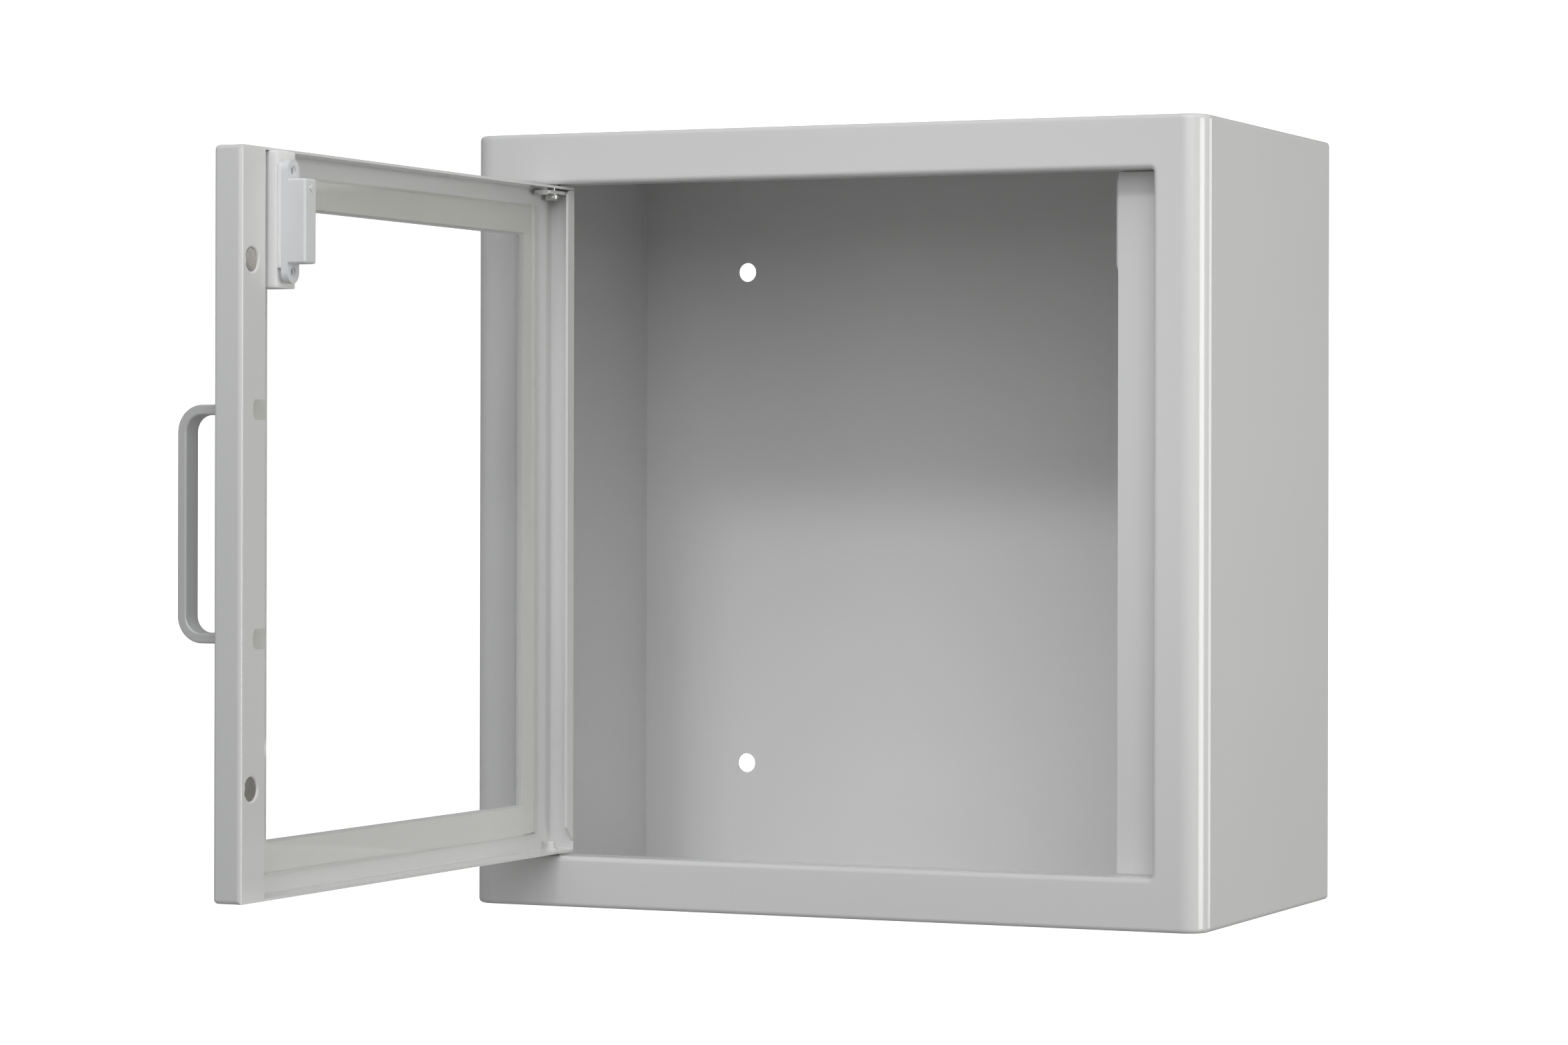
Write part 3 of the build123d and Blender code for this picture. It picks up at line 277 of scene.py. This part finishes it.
def circuit_board():
    """Green solder mask over woven glass and copper runs."""
    f = Finish("green_circuit_board")
    runs = f.add("TexBrick", {"offset": 0.37}, {
        "Vector": f.add("Mapping", {}, {"Vector": f.place, "Rotation": (math.pi / 2, 0, 0)}),
        "Scale": 90.0, "Mortar Size": 0.05, "Mortar Smooth": 0.2,
    }, "Fac")
    weave = f.noise(0.4 * MM, 2.0)
    return f.surface(
        Base_Color=f.mixed(
            runs, f.between(weave, (0.02, 0.16, 0.06), (0.03, 0.2, 0.08)),
            f.between(weave, (0.05, 0.28, 0.1), (0.07, 0.33, 0.13)),
        ),
        Roughness=0.3 + 0.1 * weave,
        Normal=f.relief(runs + 0.2 * weave, 0.03 * MM),
    )


def dark_moulding(name, low, high, rough, size):
    """Dark moulded or sintered stuff with a matt grain."""
    f = Finish(name)
    grain = f.noise(size, 3.0, 0.6)
    cloud = f.noise(9 * MM, 2.0)
    return f.surface(
        Base_Color=f.between(grain * 0.6 + cloud * 0.4, low, high),
        Roughness=rough + 0.15 * grain,
        Normal=f.relief(grain, 0.02 * MM),
    )


def reed_glass():
    """Greenish glass tube with sealed-in draw streaks."""
    f = Finish("reed_tube_glass")
    streak = f.noise(0.8 * MM, 2.0, 0.5, (1, 1, 0.1))
    return f.surface(
        Base_Color=f.between(streak, (0.66, 0.8, 0.7), (0.78, 0.9, 0.82)),
        Roughness=0.05 + 0.05 * streak,
        Alpha=0.4 + 0.15 * streak,
    )


FINISHES = {
    "grey_paint": powder_coat(),
    "clear_pane": clear_pane(),
    "pane_tape": pane_tape(),
    "handle_silver": satin_silver(),
    "zinc_steel": plated_steel(
        "zinc_plate", (0.60, 0.59, 0.56), (0.74, 0.73, 0.71), 0.24, (1, 1, 0.08)),
    "dark_steel": plated_steel(
        "blackened_steel", (0.10, 0.10, 0.105), (0.2, 0.2, 0.2), 0.38, (1, 1, 0.2)),
    "nickel": plated_steel(
        "nickel_plate", (0.50, 0.47, 0.43), (0.68, 0.65, 0.61), 0.2, (1, 1, 0.1)),
    "white_foam": cut_foam(),
    "white_plastic": moulded_white(),
    "board_green": circuit_board(),
    "component_black": dark_moulding(
        "black_epoxy", (0.015, 0.015, 0.016), (0.04, 0.04, 0.042), 0.42, 0.3 * MM),
    "ferrite": dark_moulding(
        "ground_ferrite", (0.05, 0.05, 0.052), (0.12, 0.12, 0.125), 0.5, 0.5 * MM),
    "reed_glass": reed_glass(),
    "brass": plated_steel("bare_brass", (0.6, 0.43, 0.16), (0.76, 0.58, 0.26), 0.28, (1, 1, 0.1)),
}

for part in frame["record"]["subparts"]:
    node = frame["nodes"][part["node"]]
    node.data.materials.clear()
    node.data.materials.append(FINISHES[part["material_slot"]])


# ---- hand-cut foam ----

BLADE_SWAY = 7 * MM             # length of the slow and the quick unevenness of a cut
BLADE_CHATTER = 2.2 * MM
SWAY_SHARE = 0.6


def finished(name, work, body, slot):
    """Turns a worked mesh into a piece that rides on a body."""
    bmesh.ops.recalc_face_normals(work, faces=work.faces)
    mesh = bpy.data.meshes.new(name)
    work.to_mesh(mesh)
    work.free()
    mesh.shade_smooth()
    mesh.materials.append(FINISHES[slot])
    piece = bpy.data.objects.new(name, mesh)
    bpy.context.scene.collection.objects.link(piece)
    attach(piece, body)
    return piece


def scored(work, low, high, step):
    """Cuts a box-like mesh into even slices along each axis, so that its faces can be shaped."""
    for axis in range(3):
        length = high[axis] - low[axis]
        count = int(length / step)
        for i in range(1, count):
            place = low.copy()
            place[axis] += length * i / count
            across = Vector((0, 0, 0))
            across[axis] = 1
            bmesh.ops.bisect_plane(
                work, geom=list(work.verts) + list(work.edges) + list(work.faces),
                dist=WELD_GAP, plane_co=place, plane_no=across)


def cut_soft_piece(name, node, body, edge, step, wander):
    """A hand-cut soft piece in a CAD solid's room: soft edges, faces a little uneven."""
    work = bmesh.new()
    work.from_mesh(frame["nodes"][node].data)
    bmesh.ops.remove_doubles(work, verts=work.verts, dist=WELD_GAP)
    bmesh.ops.dissolve_limit(
        work, angle_limit=math.radians(1), verts=work.verts, edges=work.edges)
    bmesh.ops.bevel(
        work, geom=list(work.edges), offset=edge, segments=2, affect="EDGES",
        profile=0.5, material=-1, clamp_overlap=True)
    scored(work, *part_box(node), step)
    work.normal_update()
    for vert in work.verts:
        sway = noise.noise(vert.co / BLADE_SWAY)
        chatter = noise.noise(vert.co / BLADE_CHATTER)
        dent = SWAY_SHARE * sway + (1 - SWAY_SHARE) * chatter
        vert.co -= vert.normal * wander * (1 + dent) / 2
    piece = finished(name, work, body, "white_foam")
    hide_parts(node)
    return piece


cut_soft_piece(
    "foam_block", "magnet_foam_block", "door", edge=0.5 * MM, step=2 * MM, wander=0.22 * MM)
cut_soft_piece(
    "foam_pad", "magnet_foam_pad", "door", edge=0.25 * MM, step=2 * MM, wander=0.12 * MM)
cut_soft_piece(
    "alarm_foam_tape", "alarm_tape", "cabinet", edge=0.15 * MM, step=3 * MM, wander=0.05 * MM)


# ---- floor, light and camera ----

def pale_floor(reach, below):
    """A plain pale sheet under the cabinet, which glows for the camera alone."""
    work = bmesh.new()
    bmesh.ops.create_grid(work, x_segments=1, y_segments=1, size=reach)
    bmesh.ops.translate(work, verts=work.verts, vec=(0, 0, cad_box[0].z - below))
    mesh = bpy.data.meshes.new("pale_floor")
    work.to_mesh(mesh)
    work.free()
    f = Finish("pale_floor_paint")
    cloud = f.noise(0.4, 2.0)
    mesh.materials.append(f.surface(
        Base_Color=f.between(cloud, (0.80, 0.80, 0.80), (0.82, 0.82, 0.82)),
        Roughness=0.8 + 0.1 * cloud,
        Emission_Color=f.between(cloud, (1, 1, 1), (0.98, 0.98, 0.98)),
        Emission_Strength=1.15,
    ))
    floor = bpy.data.objects.new("pale_floor", mesh)
    floor.visible_diffuse = False
    floor.visible_glossy = False
    bpy.context.scene.collection.objects.link(floor)


def white_room(light, seen):
    """An even white surround: one strength for the light it gives, one for how it looks."""
    world = bpy.data.worlds.new("white_room")
    world.use_nodes = True
    nodes, links = world.node_tree.nodes, world.node_tree.links
    nodes.clear()
    path = nodes.new("ShaderNodeLightPath")
    mix = nodes.new("ShaderNodeMixShader")
    for index, strength in ((1, light), (2, seen)):
        background = nodes.new("ShaderNodeBackground")
        background.inputs["Color"].default_value = (1, 1, 1, 1)
        background.inputs["Strength"].default_value = strength
        links.new(background.outputs[0], mix.inputs[index])
    links.new(path.outputs["Is Camera Ray"], mix.inputs[0])
    links.new(mix.outputs[0], nodes.new("ShaderNodeOutputWorld").inputs["Surface"])
    bpy.context.scene.world = world


def hang(name, data, place, aim):
    """Hangs a lamp at a place and turns it to where it aims."""
    lamp = bpy.data.objects.new(name, data)
    lamp.location = place
    lamp.rotation_euler = (Vector(aim) - Vector(place)).to_track_quat("-Z", "Y").to_euler()
    bpy.context.scene.collection.objects.link(lamp)


def softbox(name, place, aim, width, height, watts, colour):
    """A wide, even lamp."""
    data = bpy.data.lights.new(name, "AREA")
    data.shape = "RECTANGLE"
    data.size, data.size_y = width, height
    data.energy = watts
    data.color = colour
    hang(name, data, place, aim)


def snoot(name, place, aim, spread, watts):
    """A soft narrow beam, with its spread in degrees and its fading all the way to the edge."""
    data = bpy.data.lights.new(name, "SPOT")
    data.shadow_soft_size = BEAM_RADIUS
    data.spot_size = math.radians(spread)
    data.spot_blend = 1.0
    data.energy = watts
    hang(name, data, place, aim)


def camera(place, turn, roll, lens, rise):
    """A camera turned about the upright, rolled a little, with its picture raised by a lens shift."""
    data = bpy.data.cameras.new("camera")
    data.sensor_width = 36
    data.lens = lens
    data.shift_y = rise
    data.clip_start = 0.05
    data.clip_end = 200
    view = bpy.data.objects.new("camera", data)
    view.location = place
    view.rotation_euler = (math.radians(90), math.radians(roll), math.radians(turn))
    bpy.context.scene.collection.objects.link(view)
    bpy.context.scene.camera = view


pale_floor(reach=40, below=0.5 * MM)
white_room(light=0.25, seen=1.4)

DOORWAY = (0, -0.2, 0)
RIGHT_SIDE = (0.19, -0.19, 0)
COOL_WHITE = (0.98, 0.99, 1.0)
BEAM_RADIUS = 0.2
BEAM_RIGHT_OF_AIM = 0.11
softbox("front_box", (0.95, -2.3, 1.2), DOORWAY, 2.0, 1.9, 24, COOL_WHITE)
softbox("overhead_box", (0.3, -1.15, 2.0), DOORWAY, 1.6, 1.2, 8.5, COOL_WHITE)
softbox("right_box", (1.69, -0.31, 0), RIGHT_SIDE, 0.7, 0.75, 10, (1.0, 0.99, 0.95))
softbox("right_rear_box", (1.48, 1.59, 0), RIGHT_SIDE, 0.77, 0.85, 5.0, (1.0, 0.99, 0.96))
for side, x, watts in (("left", -0.14, 41), ("right", 0.12, 43)):
    place = (x + BEAM_RIGHT_OF_AIM, -1.75, 1.33)
    snoot("cavity_beam_" + side, place, (x, 0, -0.10), spread=12, watts=watts)
camera(place=(0.8529, -2.1964, 0.0183), turn=23.653, roll=-0.123, lens=104.16, rise=-0.0251)
bpy.context.scene.view_settings.view_transform = "Standard"
